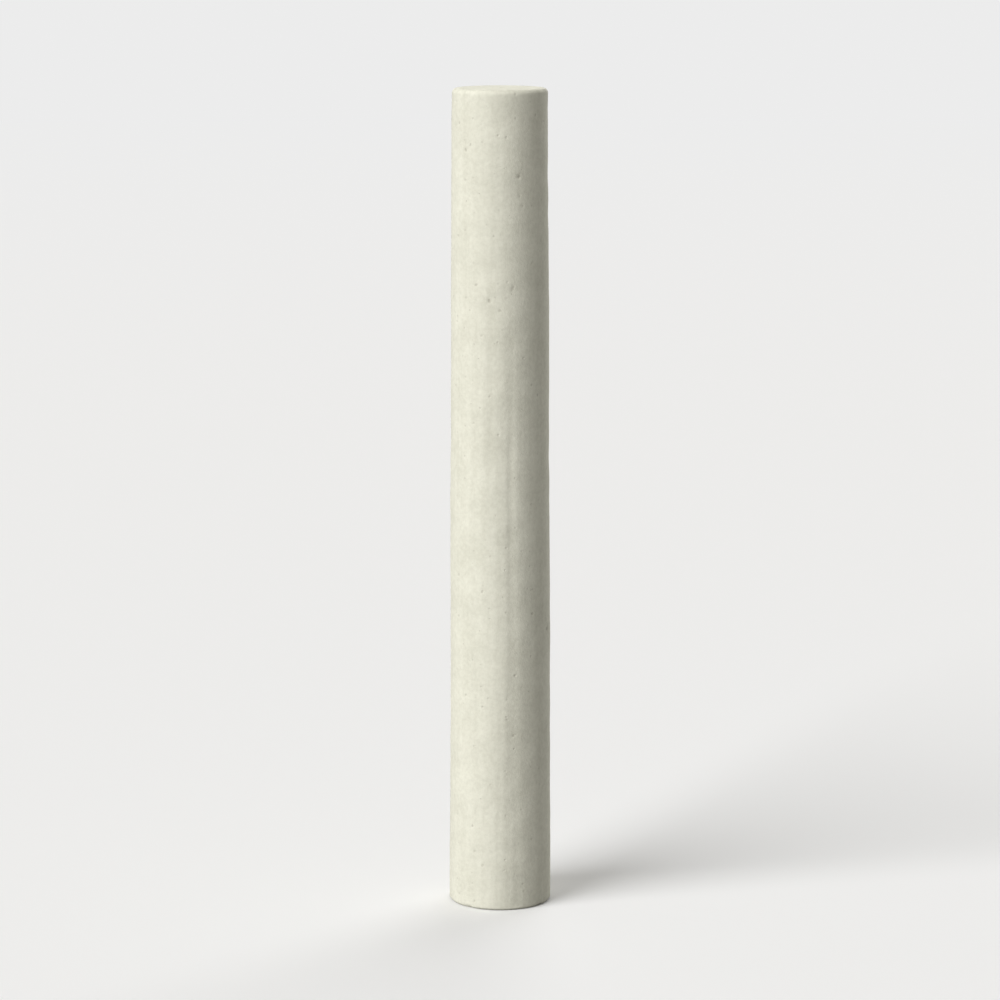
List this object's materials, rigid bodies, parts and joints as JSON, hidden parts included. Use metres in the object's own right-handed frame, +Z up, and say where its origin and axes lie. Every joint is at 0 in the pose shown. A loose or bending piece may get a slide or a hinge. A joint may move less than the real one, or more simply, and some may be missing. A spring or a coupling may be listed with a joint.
{
  "type": "chalk stick",
  "caption": "Slender white stick of cast blackboard chalk, slightly tapered, with flat ends and softly rounded rims, for writing and drawing on boards.",
  "frame": {"origin": "centre of the wide flat end, which the stick stands on", "axes": "+Z up along the stick's axis to the narrow end, which writes. The stick is round, so +X and +Y are free: -Y is its front and +X its right."},
  "size_m": [0.01, 0.01, 0.08],
  "materials": {
    "cast_chalk": "matte"
  },
  "bodies": {
    "root": {"chalk_stick": "cast_chalk"}
  },
  "joints": []
}
